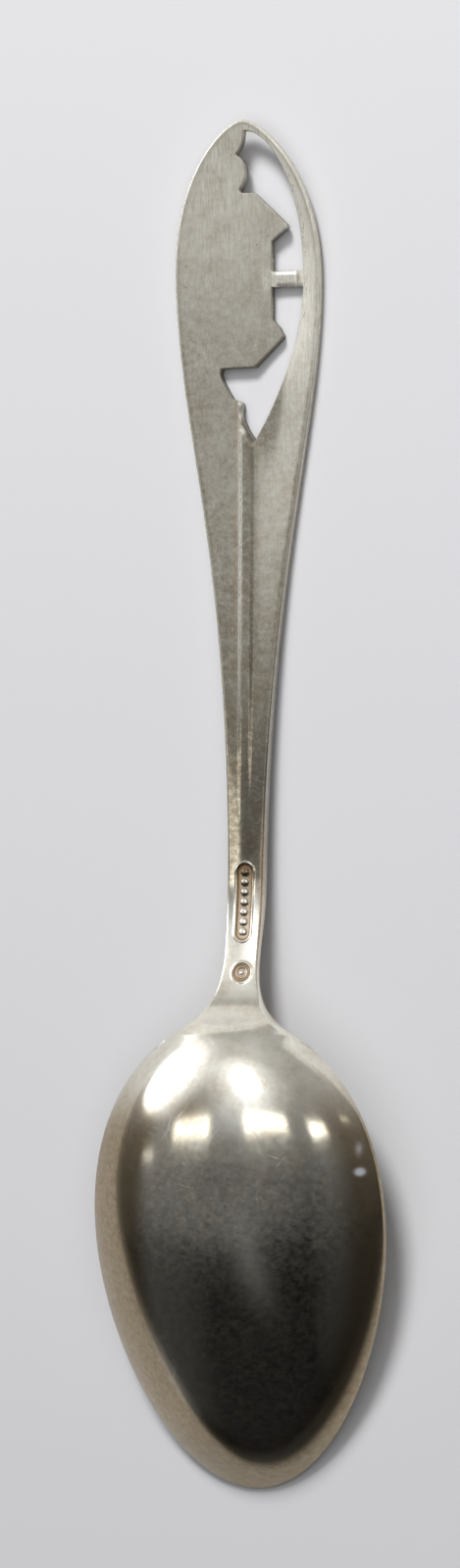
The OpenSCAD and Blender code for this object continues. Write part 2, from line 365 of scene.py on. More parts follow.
upper_hole = np.concatenate([
    between(bow_edge, TIE_HIGH_Y, None), between(panel_edge, None, TIE_HIGH_Y),
    between(bow_edge, TIE_HIGH_Y, None)[:1],
])
lower_hole = np.concatenate([
    between(panel_edge, TIE_LOW_Y, None), between(bow_edge, None, TIE_LOW_Y),
    between(panel_edge, TIE_LOW_Y, None)[:1],
])
window_edges = Edges(upper_hole, lower_hole)


# ---------------------------------------------------------------- heights of the handle
LEAN_SLOPE = 0.14
LEAN_RUN = 3.6
BOW_TILT = 0.29
CROWN = 0.15


def lean(x, y):
    """How far the bow's face dips towards the window."""
    gap = np.clip(half_width(y) - x, 0, LEAN_RUN)
    dip = LEAN_SLOPE * (gap - gap**2 / (2 * LEAN_RUN))
    return dip * smooth(x, -0.2, 2.6) * smooth(y, 28, 40) * (1 - smooth(y, 56, 66))


def stadium_gap(x, y):
    """Distance outside the long sunk panel's edge; negative inside it."""
    core = CARTOUCHE_L / 2 - CARTOUCHE_W / 2
    return np.hypot(x, np.maximum(np.abs(y - CARTOUCHE_Y) - core, 0)) - CARTOUCHE_W / 2


def beading(x, y):
    """Raised row of plain round beads in the sunk panel."""
    phase = (y - CARTOUCHE_Y) / BEAD_PITCH
    step = (phase - np.round(phase)) * BEAD_PITCH
    bead = np.sqrt(np.maximum(1 - (x**2 + step**2) / BEAD_R**2, 0))
    inside = np.abs(y - CARTOUCHE_Y) < CARTOUCHE_L / 2 - 0.55
    return 0.2 * bead * inside


def roundel(x, y):
    """Raised ring with a round boss in its middle, in the round sunk mark."""
    r = np.hypot(x - PUNCH[0], y - PUNCH[1])
    ring = np.exp(-((r - 0.55) / 0.1) ** 2)
    boss = np.sqrt(np.maximum(1 - (r / 0.27) ** 2, 0))
    return 0.19 * np.maximum(ring, boss)


def marks(x, y):
    """Height of the two sunk marks: negative in them, with a low swollen lip round each."""
    near = (y < NECK_Y + 5.5) & (y > NECK_Y - 10)
    total = np.zeros_like(x)
    px, py = x[near], y[near]
    for gap, relief in ((stadium_gap(px, py), beading(px, py)),
                        (np.hypot(px - PUNCH[0], py - PUNCH[1]) - PUNCH_R, roundel(px, py))):
        sunk = 1 - smooth(gap, -0.2, 0.02)
        total[near] += sunk * (relief - MARK_DEPTH) + 0.05 * np.exp(-((gap - 0.1) / 0.11) ** 2)
    return total


def crown(x, y):
    """How far the neck's back falls towards its edges."""
    along = smooth(y, HEEL_JOINT_Y, HEEL_JOINT_Y + 4) * (1 - smooth(y, -6, 12))
    return CROWN * along * np.minimum(np.abs(x) / np.maximum(half_width(y), 1), 1) ** 2


def base_back(x, y):
    return back_z(y) - lean(x, y) - crown(x, y) + marks(x, y)


def slopes(height, x, y, h=BACK_STEP):
    return np.column_stack([(height(x + h, y) - height(x - h, y)) / (2 * h),
                            (height(x, y + h) - height(x, y - h)) / (2 * h)])


def eased(points, height, outer, window, sign):
    """Heights and slopes of a face whose edges are rounded: sign is 1 on the back and -1 on the
    front. The front has no marks, so its slopes are taken over a longer step, which smooths its corners."""
    x, y = points.T
    z = height(x, y)
    slope = slopes(height, x, y, BACK_STEP if sign > 0 else FRONT_STEP)
    for edges, radius in ((outer_edges, outer), (window_edges, window)):
        distance, away = nearest(points, edges)
        left = np.clip(radius - distance, 0, radius)
        rest = np.sqrt(np.maximum(radius**2 - left**2, 1e-12))
        z = z - sign * np.where(left > 0, radius - rest, 0)
        slope = slope + sign * (np.minimum(left / rest, 60))[:, None] * away
    return z, slope


def right_share(x, y):
    """1 on the bow and on the stem's right half next to it, and 0 on the panel and the lower stem."""
    beside = 0.45 * smooth(x, 0.6, 1.5)
    on_bow = (1 - smooth(half_width(y) - x, 2.5, 3.5)) * (x > 0) * mix(0.6, 1, smooth(y, 38, 50))
    return mix(beside, on_bow, smooth(y, 33, 38)) * smooth(y, 6, 34)


def tilted(heights, share):
    """The same heights, with normals that lean a little to the left."""
    z, slope = heights
    slope[:, 0] += BOW_TILT * share
    return z, slope


def handle_back(points):
    return tilted(eased(points, base_back, OUTER_ROUND, WINDOW_ROUND, 1), right_share(*points.T))


def handle_front(points):
    return eased(points, lambda x, y: front_z(y), FRONT_ROUND, WINDOW_ROUND, -1)


# ---------------------------------------------------------------- meshes
def unit(vectors):
    return vectors / np.maximum(np.linalg.norm(vectors, axis=1), 1e-12)[:, None]


def mesh_of(name, verts, faces):
    """A mesh of points in millimetres, its corners' vertices and faces, and its faces' normals."""
    mesh = bpy.data.meshes.new(name)
    mesh.from_pydata((np.asarray(verts) * MM).tolist(), [], [list(map(int, f)) for f in faces])
    mesh.update()
    mesh.shade_smooth()
    corner_vertex = np.concatenate([np.asarray(f) for f in faces]).astype(int)
    corner_face = np.repeat(np.arange(len(faces)), [len(f) for f in faces])
    flat = np.empty(len(faces) * 3)
    mesh.polygons.foreach_get("normal", flat)
    return mesh, corner_vertex, corner_face, flat.reshape(-1, 3)


def add_piece(mesh, node_name, corner_normals, points, is_front):
    """The mesh as a piece that stands for a node, with its corner normals and its finish."""
    mesh.normals_split_custom_set(unit(corner_normals).tolist())
    for key, values in finish(points, is_front).items():
        attribute = mesh.attributes.new(key, "FLOAT", "POINT")
        attribute.data.foreach_set("value", np.asarray(values, np.float32))
    piece = bpy.data.objects.new(mesh.name, mesh)
    bpy.context.scene.collection.objects.link(piece)
    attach(piece, "root")
    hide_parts(node_name)
    return piece


def inside(points, loop):
    """Which points are inside a closed loop."""
    x, y = points.T
    hit = np.zeros(len(points), bool)
    a, b = loop, np.roll(loop, -1, 0)
    for (ax, ay), (bx, by) in zip(a, b):
        if ay == by:
            continue
        crosses = (ay > y) != (by > y)
        hit ^= crosses & (x < (bx - ax) * (y - ay) / (by - ay) + ax)
    return hit


def closed(*lines):
    """One counter-clockwise loop from lines that meet end to end, without repeated points."""
    loop = np.concatenate(lines)
    keep = np.hypot(*(loop - np.roll(loop, 1, 0)).T) > 1e-4
    loop = loop[keep]
    x, y = loop.T
    area = (x * np.roll(y, -1) - np.roll(x, -1) * y).sum()
    return loop if area > 0 else loop[::-1]


def grid(loop, gap):
    """Staggered points over a loop's box."""
    low, high = loop.min(0), loop.max(0)
    rows = np.arange(low[1], high[1], gap * 0.87)
    columns = np.arange(low[0], high[0] + gap, gap)
    x, y = np.meshgrid(columns, rows)
    x = x + (np.arange(len(rows)) % 2)[:, None] * gap / 2
    return np.column_stack([x.ravel(), y.ravel()])


def triangulated(loop, gap):
    """Points and triangles over a loop: the loop itself, rings that round its free edges, and a grid.
    Returns the points, the triangles, and which of the loop's points and sides are free."""
    count = len(loop)
    nearby = [nearest(loop, edges)[0] for edges in (outer_edges, window_edges)]
    free = np.minimum(*nearby) < 2e-3
    radius = np.where(nearby[0] < 2e-3, FRONT_ROUND, WINDOW_ROUND)
    middle = (loop + np.roll(loop, -1, 0)) / 2
    free_side = np.minimum(*(nearest(middle, edges)[0] for edges in (outer_edges, window_edges))) < 4e-3
    ahead = np.roll(loop, -1, 0) - loop
    side_out = unit(np.column_stack([ahead[:, 1], -ahead[:, 0]]))
    weight = free_side[:, None] + 1e-6
    out = unit(side_out * weight + np.roll(side_out * weight, 1, 0))
    rings = []
    steps = [radius[free] * (1 - math.cos(math.radians(turn))) for turn in EDGE_TURNS]
    for step in steps + [np.full(free.sum(), inset) for inset in EDGE_RINGS]:
        ring = loop[free] - out[free] * step[:, None]
        far_enough = nearest(ring, Edges(np.vstack([loop, loop[:1]])))[0] > 0.85 * step
        rings.append(ring[far_enough & inside(ring, loop)])
    fill = grid(loop, gap)
    to_loop = nearest(fill, Edges(np.vstack([loop, loop[:1]])))[0]
    to_free = np.minimum(nearest(fill, outer_edges)[0], nearest(fill, window_edges)[0])
    fill = fill[inside(fill, loop) & (to_loop > 0.4 * gap) & (to_free > EDGE_CLEAR)]
    points = np.concatenate([loop, *rings, fill])
    sides = [(i, (i + 1) % count) for i in range(count)]
    found = delaunay_2d_cdt([Vector(p) for p in points], sides, [], 1, 1e-7)
    corners = np.array([v[:] for v in found[0]])
    triangles = np.array(found[2])
    origin = {}
    for k, sources in enumerate(found[3]):
        for source in sources:
            origin[source] = k
    ring_index = np.array([origin[i] for i in range(count)])
    return corners, triangles, ring_index, free, free_side, out, side_out


def plate(name, node_name, loop, gap, back=handle_back, front=handle_front):
    """A flat piece of the handle over a closed loop."""
    corners, triangles, ring, free, free_side, out, side_out = triangulated(loop, gap)
    count = len(corners)
    back_height, back_slope = back(corners)
    front_height, front_slope = front(corners)
    verts = np.concatenate([np.column_stack([corners, back_height]), np.column_stack([corners, front_height])])
    up = unit(np.column_stack([-back_slope, np.ones(count)]))
    down = unit(np.column_stack([front_slope, -np.ones(count)]))
    edge_normal = np.column_stack([out, np.zeros(len(out))])
    up[ring[free]] = edge_normal[free]
    down[ring[free]] = edge_normal[free]
    a, b, c = corners[triangles].transpose(1, 0, 2)
    turn = np.cross(b - a, c - a)
    triangles = np.where((turn > 0)[:, None], triangles, triangles[:, ::-1])
    triangles = triangles[np.abs(turn) > 1e-12]
    faces = [tuple(t) for t in triangles] + [tuple(t[::-1] + count) for t in triangles]
    ahead = np.roll(ring, -1)
    faces += [(i + count, j + count, j, i) for i, j in zip(ring, ahead)]
    # The two faces and the rounded edges are smooth; the walls at the joints are flat.
    use_vertex = np.concatenate([np.ones(2 * len(triangles), bool), free_side])
    mesh, corner_vertex, corner_face, flat = mesh_of(name, verts, faces)
    smoothed = np.concatenate([up, down])[corner_vertex]
    normals = np.where(use_vertex[corner_face][:, None], smoothed, flat[corner_face])
    return add_piece(mesh, node_name, normals, verts[:, :2], np.arange(len(verts)) >= count)


def row(x_from, x_to, y, gap=0.2):
    """Evenly spaced points across a joint."""
    return respaced(np.array([[x_from, y], [x_to, y]], float), gap)


def mark_grime(x, y):
    """How much old dirt is left in the low parts of the two sunk marks."""
    long_gap = stadium_gap(x, y)
    round_gap = np.hypot(x - PUNCH[0], y - PUNCH[1]) - PUNCH_R
    sunk = np.maximum(1 - smooth(long_gap, -0.12, 0.06), 1 - smooth(round_gap, -0.12, 0.06))
    wall = np.maximum(np.exp(-((long_gap + 0.1) / 0.13) ** 2), np.exp(-((round_gap + 0.1) / 0.13) ** 2))
    relief = np.maximum(beading(x, y), roundel(x, y)) / 0.2
    return sunk * (0.5 + 0.5 * wall) * (1 - 0.9 * smooth(relief, 0.3, 0.8))


def bowl_gap(x, y):
    """Distance from a point inside the bowl's outline out to it, along the line from the bowl's centre."""
    dx, dy = x - BOWL_CENTRE[0], y - BOWL_CENTRE[1]
    return np.interp(np.arctan2(dy, dx), polar_angle, polar_reach, period=2 * math.pi) - np.hypot(dx, dy)


def finish(points, is_front):
    """How the silver looks at each point: satin is its brushed finish; tone its darkening, painted shade on the
    window's walls, at the top of the long sunk mark, along the handle's rounded edges and on the rib's crest, and
    elsewhere just darker towards the neck and at the bowl's tip; warm its yellowing; the bright mask is wear on
    the tie and painted highlights along the outer edges, the rib's left flank and the bow's inner edge; the brown
    mask is old dirt in the sunk marks and beside the rib, and painted shade along the neck's right edge; stain its
    pale marks; and patina the strength of its mottled film."""
    x, y = points.T
    window_gap = np.full(len(points), 9.0)
    high = y > END_Y - 37
    if high.any():
        window_gap[high] = nearest(points[high], window_edges)[0]
    outer_gap = np.full(len(points), 9.0)
    handle = y > HEEL_JOINT_Y - 1
    if handle.any():
        outer_gap[handle] = nearest(points[handle], outer_edges)[0]
    across = (x - (RIB_LOW[0] + RIB_HIGH[0]) / 2) / ((RIB_HIGH[0] - RIB_LOW[0]) / 2)
    on_rib = smooth(y, 2, 28) * (y < RIB_HIGH[1] + 0.2)
    on_bow = right_share(x, y)
    gap = bowl_gap(x, y)
    in_bowl = smooth(-y, 25, 34)
    band = mix(3.2, 7, smooth(-x, -3, 3))
    # Darker towards the neck end of the stem, little on the bow, none on the heel and bowl but for the bowl's tip.
    tone = 1 - 0.04 * smooth(y, -4, 4) - 0.34 * smooth(y, 12, 36) - 0.5 * smooth(y, 42, 64)
    tone = tone * smooth(y, -12.5, -4)
    tone = tone * (1 - 0.95 * on_bow) + 0.5 * smooth(-y, 61, 68)
    tone = tone + 0.2 * np.exp(-((y - 40) / 5) ** 2) * (x > 0) + 0.09 * smooth(y, -4, 4) * (1 - on_bow)
    # Painted shade along the rib's crest.
    tone = tone + 0.25 * (1 - smooth(np.abs(across), 0.3, 0.6)) * on_rib
    # Painted shadow at the top end of the long sunk mark, on the back only.
    hollow_end_shadow = np.exp(-((y - CARTOUCHE_Y - CARTOUCHE_L / 2 + 0.45) / 0.5) ** 2)
    hollow_end_shadow = hollow_end_shadow * (stadium_gap(x, y) < 0.1) * ~is_front
    # Painted shade just inside the handle's rounded outer edges, heavier on the right, away from the light.
    tone = tone + mix(0.25, 0.6, x > 0) * np.exp(-((outer_gap - 0.32) / 0.16) ** 2) * smooth(y, -16, -8)
    # Painted highlight along the outer edges, brighter on the left, towards the light.
    shine = np.exp(-((outer_gap - 0.06) / 0.14) ** 2) * smooth(y, -20, -12) * mix(1, 0.3, x > 0)
    # Painted highlight on the rib's left flank.
    ridge = np.exp(-((across + 0.72) / 0.2) ** 2) * on_rib
    in_tie = np.exp(-((y - (TIE_LOW_Y + TIE_HIGH_Y) / 2) / 1.1) ** 4)
    lap = in_tie * smooth(x, 1.4, 1.8) * (1 - smooth(x, 4.9, 5.3))
    # Painted highlight along the bow's inner edge by the window.
    lip = np.exp(-((window_gap - 0.3) / 0.28) ** 2) * on_bow
    sides = np.exp(-((across + 1.25) / 0.22) ** 2) + 0.6 * np.exp(-((across - 1.1) / 0.2) ** 2)
    # Painted shade along the neck's right edge, away from the light.
    neck_edge_shade = np.exp(-((outer_gap - 0.14) / 0.13) ** 2) * (x > 0)
    neck_edge_shade = neck_edge_shade * smooth(y, -17, -13) * (1 - smooth(y, -6, 4))
    grime_and_shade = mark_grime(x, y) + 0.2 * sides * smooth(y, 2, 14) * on_rib + 0.7 * neck_edge_shade
    spots = np.exp(-(np.hypot(x - SPOT[0], (y - SPOT[1]) / 0.9) / 0.5) ** 4)
    spots = np.maximum(spots, 0.6 * np.exp(-(np.hypot(x - DRIP[0], (y - DRIP[1]) / 2.2) / 0.28) ** 2))
    bloom_x = BLOOM[0] - 0.25 * (y - BLOOM[1] - 1.5)
    bloom = 0.5 * np.exp(-np.hypot((x - bloom_x) / 1.6, (y - BLOOM[1]) / 4.5) ** 2)
    brushing = np.maximum(smooth(y, 45, 66), np.maximum(on_bow, lap) * smooth(y, 34, 40))
    return {
        "satin": smooth(y, -4, 26) + 0.6 * brushing,
        # Tone 2 paints near-black shade on the walls round the window, through the front's edge points.
        "tone": np.where(is_front & (window_gap < 0.6), 2, np.clip(tone, 0, 1) + hollow_end_shadow),
        "warm": np.clip(np.where(is_front, 0.8, (1 - smooth(gap, band - 1.6, band + 1.6)) * in_bowl), 0, 1),
        "wear_and_glint": np.clip(np.where(is_front, 0, ridge + 0.9 * lap + lip + shine), 0, 1),
        "grime_and_shade": np.clip(np.where(is_front, 0, grime_and_shade), 0, 1),
        "stain": np.clip(np.where(is_front, 0, spots + 0.25 * bloom), 0, 1),
        "patina": 0.5 + 1.1 * smooth(-y, 28, 35) - 1.1 * smooth(-y, 41, 49),
    }


def right_side(high_y, low_y):
    """The evenly spaced right-hand outline between two joints, with a point at each."""
    within = outer_right[(outer_right[:, 1] < high_y) & (outer_right[:, 1] > low_y)]
    return np.vstack([[half_width(high_y), high_y], within, [half_width(low_y), low_y]])


def neck():
    right = right_side(STEM_JOINT_Y, HEEL_JOINT_Y)
    loop = closed(right, row(right[-1, 0], -right[-1, 0], HEEL_JOINT_Y), mirrored(right),
                  row(-right[0, 0], right[0, 0], STEM_JOINT_Y))
    return plate("neck_shank", "neck", loop, 0.075)


def stem():
    right = right_side(WINDOW_JOINT_Y, STEM_JOINT_Y)
    notch_left = between(panel_edge, WINDOW_JOINT_Y, None)
    notch_right = between(bow_edge, None, WINDOW_JOINT_Y)
    loop = closed(right, row(right[-1, 0], -right[-1, 0], STEM_JOINT_Y), mirrored(right),
                  row(-right[0, 0], notch_left[0, 0], WINDOW_JOINT_Y), notch_left, notch_right,
                  row(notch_right[-1, 0], right[0, 0], WINDOW_JOINT_Y))
    return plate("stem_blade", "stem", loop, 0.35)


def terminal_panel():
    left = mirrored(outer_right[outer_right[:, 1] > WINDOW_JOINT_Y])
    left = np.vstack([[-half_width(WINDOW_JOINT_Y), WINDOW_JOINT_Y], left])
    top = np.array([[END_JOINT_X, END_Y - 1e-3]])
    edge = between(panel_edge, None, WINDOW_JOINT_Y)
    seam = respaced(np.concatenate([top, edge[:1]]), 0.1)
    loop = closed(left, seam, edge, row(edge[-1, 0], left[0, 0], WINDOW_JOINT_Y))
    return plate("terminal_plate", "terminal_panel", loop, 0.4)


def terminal_bow():
    right = outer_right[(outer_right[:, 1] > WINDOW_JOINT_Y) & (outer_right[:, 0] > END_JOINT_X + 0.02)]
    right = np.vstack([right, [half_width(WINDOW_JOINT_Y), WINDOW_JOINT_Y]])
    top = np.array([[END_JOINT_X, END_Y - 1e-3]])
    edge = between(bow_edge, WINDOW_JOINT_Y, None)
    seam = respaced(np.concatenate([edge[-1:], top]), 0.1)
    loop = closed(right, row(right[-1, 0], edge[0, 0], WINDOW_JOINT_Y), edge, seam)
    return plate("terminal_hoop", "terminal_bow", loop, 0.3)


def tie_back(points):
    def height(x, y):
        edge = np.minimum(TIE_HIGH_Y - y, y - TIE_LOW_Y)
        low_end = 0.4 * smooth(x, 5.2, 5.5)
        rounded = 0.12 * (1 - smooth(edge, 0, 0.35)) * smooth(x, 2.7, 3)
        return base_back(x, y) - low_end - rounded
    return tilted(eased(points, height, OUTER_ROUND, WINDOW_ROUND, 1), 1 - smooth(points[:, 0], 5.1, 5.3))


def cupola_tie():
    left = between(between(panel_edge, TIE_HIGH_Y, None), None, TIE_LOW_Y)
    right = between(between(bow_edge, TIE_LOW_Y, None), None, TIE_HIGH_Y)
    loop = closed(left, row(left[-1, 0], right[0, 0], TIE_LOW_Y), right, row(right[-1, 0], left[0, 0], TIE_HIGH_Y))
    return plate("cupola_bar", "cupola_tie", loop, 0.12, back=tie_back)


def rib_back(points):
    centre = (RIB_LOW[0] + RIB_HIGH[0]) / 2
    half = (RIB_HIGH[0] - RIB_LOW[0]) / 2

    def height(px, py):
        across = 1 - smooth(np.abs(px - centre) / half, 0.35, 1)
        fade = smooth(py, STEM_JOINT_Y + 0.5, STEM_JOINT_Y + 24)
        return base_back(px, py) + (RIB_H + 0.01) * across * fade - 0.01
    return eased(points, height, OUTER_ROUND, WINDOW_ROUND, 1)


def rib_front(points):
    x, y = points.T
    return base_back(x, y) - 0.3, np.zeros((len(points), 2))


def stem_rib():
    edge = between(panel_edge, RIB_HIGH[1], None) - [0.04, 0]
    edge = edge[edge[:, 0] < RIB_HIGH[0] - 0.02]
    left = respaced(np.array([[RIB_LOW[0], RIB_LOW[1]], [RIB_LOW[0], RIB_HIGH[1]]]), 0.3)
    right = respaced(np.array([[RIB_HIGH[0], edge[-1, 1]], [RIB_HIGH[0], RIB_LOW[1]]]), 0.3)
    loop = closed(left, row(left[-1, 0], edge[0, 0], RIB_HIGH[1]), edge, right,
                  row(right[-1, 0], left[0, 0], RIB_LOW[1]))
    return plate("stem_ridge", "stem_rib", loop, 0.13, back=rib_back, front=rib_front)


# ---------------------------------------------------------------- bowl and heel
BOWL_CENTRE = np.array([0, WIDE_Y - 0.5])
bowl_free = respaced(side_run(BOWL_JOINT_Y, TIP_Y + 1e-4), 0.2)
bowl_free[-1] = (0, TIP_Y)
bowl_outline = np.concatenate([bowl_free, mirrored(bowl_free)[1:]])
bowl_top_row = row(bowl_outline[-1, 0], bowl_outline[0, 0], BOWL_JOINT_Y, 0.25)[1:-1]
polar = np.concatenate([bowl_outline, bowl_top_row]) - BOWL_CENTRE
polar_angle = np.arctan2(polar[:, 1], polar[:, 0])
polar_order = np.argsort(polar_angle)
polar_angle = polar_angle[polar_order]
polar_reach = np.hypot(*polar.T)[polar_order]


def side_height(y):
    """Height of the upright side of the heel and bowl."""
    t = smoother(-y, -HEEL_JOINT_Y, -BOWL_JOINT_Y)
    return mix(back_z(y), front_z(y) + RIM_H, t)


def bowl_back(x, y):
    half = np.maximum(mix(half_width(y), np.interp(y, eased_y, eased_half), smooth(y, WIDE_Y, WIDE_Y + 8)), 1e-6)
    north = mix(side_height(y), back_z(y), dome(np.clip(np.abs(x) / half, 0, 1), CROSS_CUT))
    dx, dy = x - BOWL_CENTRE[0], y - BOWL_CENTRE[1]
    angle = np.arctan2(dy, dx)
    reach = np.interp(angle, polar_angle, polar_reach, period=2 * math.pi)
    cut = mix(CROSS_CUT, LENGTH_CUT, np.sin(angle) ** 2)
    edge = rim_z(BOWL_CENTRE[1] + reach * np.sin(angle)) + RIM_H
    south = mix(edge, DOME_H, dome(np.clip(np.hypot(dx, dy) / reach, 0, 1), cut))
    return mix(north, south, smooth(-y, -WIDE_Y - 7, -WIDE_Y + 7))


def heel_back(points):
    return eased(points, bowl_back, OUTER_ROUND, WINDOW_ROUND, 1)


def bowl_heel():
    right = right_side(HEEL_JOINT_Y, BOWL_JOINT_Y)
    loop = closed(right, row(right[-1, 0], -right[-1, 0], BOWL_JOINT_Y), mirrored(right),
                  row(-right[0, 0], right[0, 0], HEEL_JOINT_Y))
    return plate("heel_drop", "bowl_heel", loop, 0.2, back=heel_back)


def rim_profile(width, top, low, is_joint):
    """Points down the bowl's edge and under its rim, as [distance inwards, height]."""
    turn = np.radians([18, 36, 54, 72, 90])
    outer, inner = (0.02, 0.3) if is_joint else (0.22, 0.3)
    first = [(outer * (1 - math.cos(a)), low + outer * (1 - math.sin(a))) for a in turn]
    last = [(width - inner + inner * math.sin(a), low + inner * (1 - math.cos(a))) for a in turn]
    return [(0, mix(top, low + outer, 0.5)), (0, low + outer), *first, (width - inner, low), *last]


def hollow_line(columns):
    """The hollow's edge: along the rim in the lower half, and a full oval in the upper half."""
    low = WIDE_Y + (columns[:, 1] - WIDE_Y) * (1 - RIM_W / (WIDE_Y - TIP_Y))
    along_rim = np.column_stack([columns[:, 0] * (1 - RIM_W / BOWL_HALF), low])
    angle = np.arctan2(columns[:, 1] - WIDE_Y, columns[:, 0])
    wide, tall = BOWL_HALF - RIM_W, BOWL_JOINT_Y - WIDE_Y - HEEL_LAND
    reach = (np.abs(np.cos(angle) / wide) ** OVAL + np.abs(np.sin(angle) / tall) ** OVAL) ** (-1 / OVAL)
    oval = np.column_stack([reach * np.cos(angle), WIDE_Y + reach * np.sin(angle)])
    return np.where(columns[:, 1:] > WIDE_Y, oval, along_rim)


def bowl():
    columns = np.concatenate([bowl_outline, bowl_top_row])
    is_joint = np.arange(len(columns)) >= len(bowl_outline)
    count = len(columns)
    verts = [[*BOWL_CENTRE, DOME_H]]
    shrink = np.where(is_joint, 0, DOME_INSET / np.hypot(*(columns - BOWL_CENTRE).T))
    for k in range(1, DOME_ROWS + 1):
        reach = 1 - (1 - k / DOME_ROWS) ** 1.4
        points = BOWL_CENTRE + (columns - BOWL_CENTRE) * (reach * (1 - shrink))[:, None]
        verts += np.column_stack([points, bowl_back(*points.T)]).tolist()
    inner_line = hollow_line(columns)
    inward = inner_line - columns
    width = np.hypot(*inward.T)
    inward = inward / width[:, None]
    top = bowl_back(*columns.T)
    low = rim_z(columns[:, 1])
    profiles = np.array([rim_profile(*p) for p in zip(width, top, low, is_joint)])
    for k in range(profiles.shape[1]):
        points = columns + inward * profiles[:, k, :1]
        verts += np.column_stack([points, profiles[:, k, 1]]).tolist()
    edge = profiles[:, -1, 1]
    turn = np.arctan2(*(inner_line - BOWL_CENTRE).T[::-1])
    cut = mix(CROSS_CUT, LENGTH_CUT, np.sin(turn) ** 2)
    for k in range(1, HOLLOW_ROWS):
        reach = 1 - (k / HOLLOW_ROWS) ** 1.3
        inner = BOWL_CENTRE + (inner_line - BOWL_CENTRE) * reach
        verts += np.column_stack([inner, mix(edge, DOME_H - WALL_T, dome(reach, cut))]).tolist()
    verts.append([*BOWL_CENTRE, DOME_H - WALL_T])
    verts = np.array(verts)
    faces = []
    ahead = (np.arange(count) + 1) % count
    last_row = (len(verts) - 2) // count - 1
    for i, j in zip(range(count), ahead):
        faces.append((0, 1 + j, 1 + i))
    for k in range(last_row):
        a, b = 1 + k * count, 1 + (k + 1) * count
        faces += [(a + i, a + j, b + j, b + i) for i, j in zip(range(count), ahead)]
    end = 1 + last_row * count
    faces += [(end + i, end + j, len(verts) - 1) for i, j in zip(range(count), ahead)]
    mesh, corner_vertex, corner_face, flat = mesh_of("bowl_shell", verts, faces)
    # Vertex normals from the mesh, but the exact ones on the dome so that it meets the heel without a line.
    vertex = np.empty(len(verts) * 3)
    mesh.vertex_normals.foreach_get("vector", vertex)
    vertex = vertex.reshape(-1, 3)
    on_dome = 1 + DOME_ROWS * count
    slope = slopes(bowl_back, *verts[:on_dome, :2].T)
    exact = unit(np.column_stack([-slope, np.ones(on_dome)]))
    last_ring = np.arange(on_dome) >= on_dome - count
    keep_mesh = last_ring & ~np.concatenate([[False], np.tile(is_joint, DOME_ROWS)])
    vertex[:on_dome] = np.where(keep_mesh[:, None], vertex[:on_dome], exact)
    # The wall at the joint is flat.
    wall = np.zeros(len(faces), bool)
    for row_start in (DOME_ROWS * count, (DOME_ROWS + 1) * count):
        wall[row_start:row_start + count] = is_joint & np.roll(is_joint, -1)
    normals = np.where(wall[corner_face][:, None], flat[corner_face], vertex[corner_vertex])
    return add_piece(mesh, "bowl", normals, verts[:, :2], np.zeros(len(verts), bool))


# ---------------------------------------------------------------- materials
def put(tree, kind, inputs=None, **settings):
    """A node with its settings, and its inputs set to values or linked to sockets."""
    node = tree.nodes.new(kind)
    for key, value in settings.items():
        setattr(node, key, value)
    for key, value in (inputs or {}).items():
        if isinstance(value, bpy.types.NodeSocket):
            tree.links.new(value, node.inputs[key])
        else:
            node.inputs[key].default_value = value
    return node


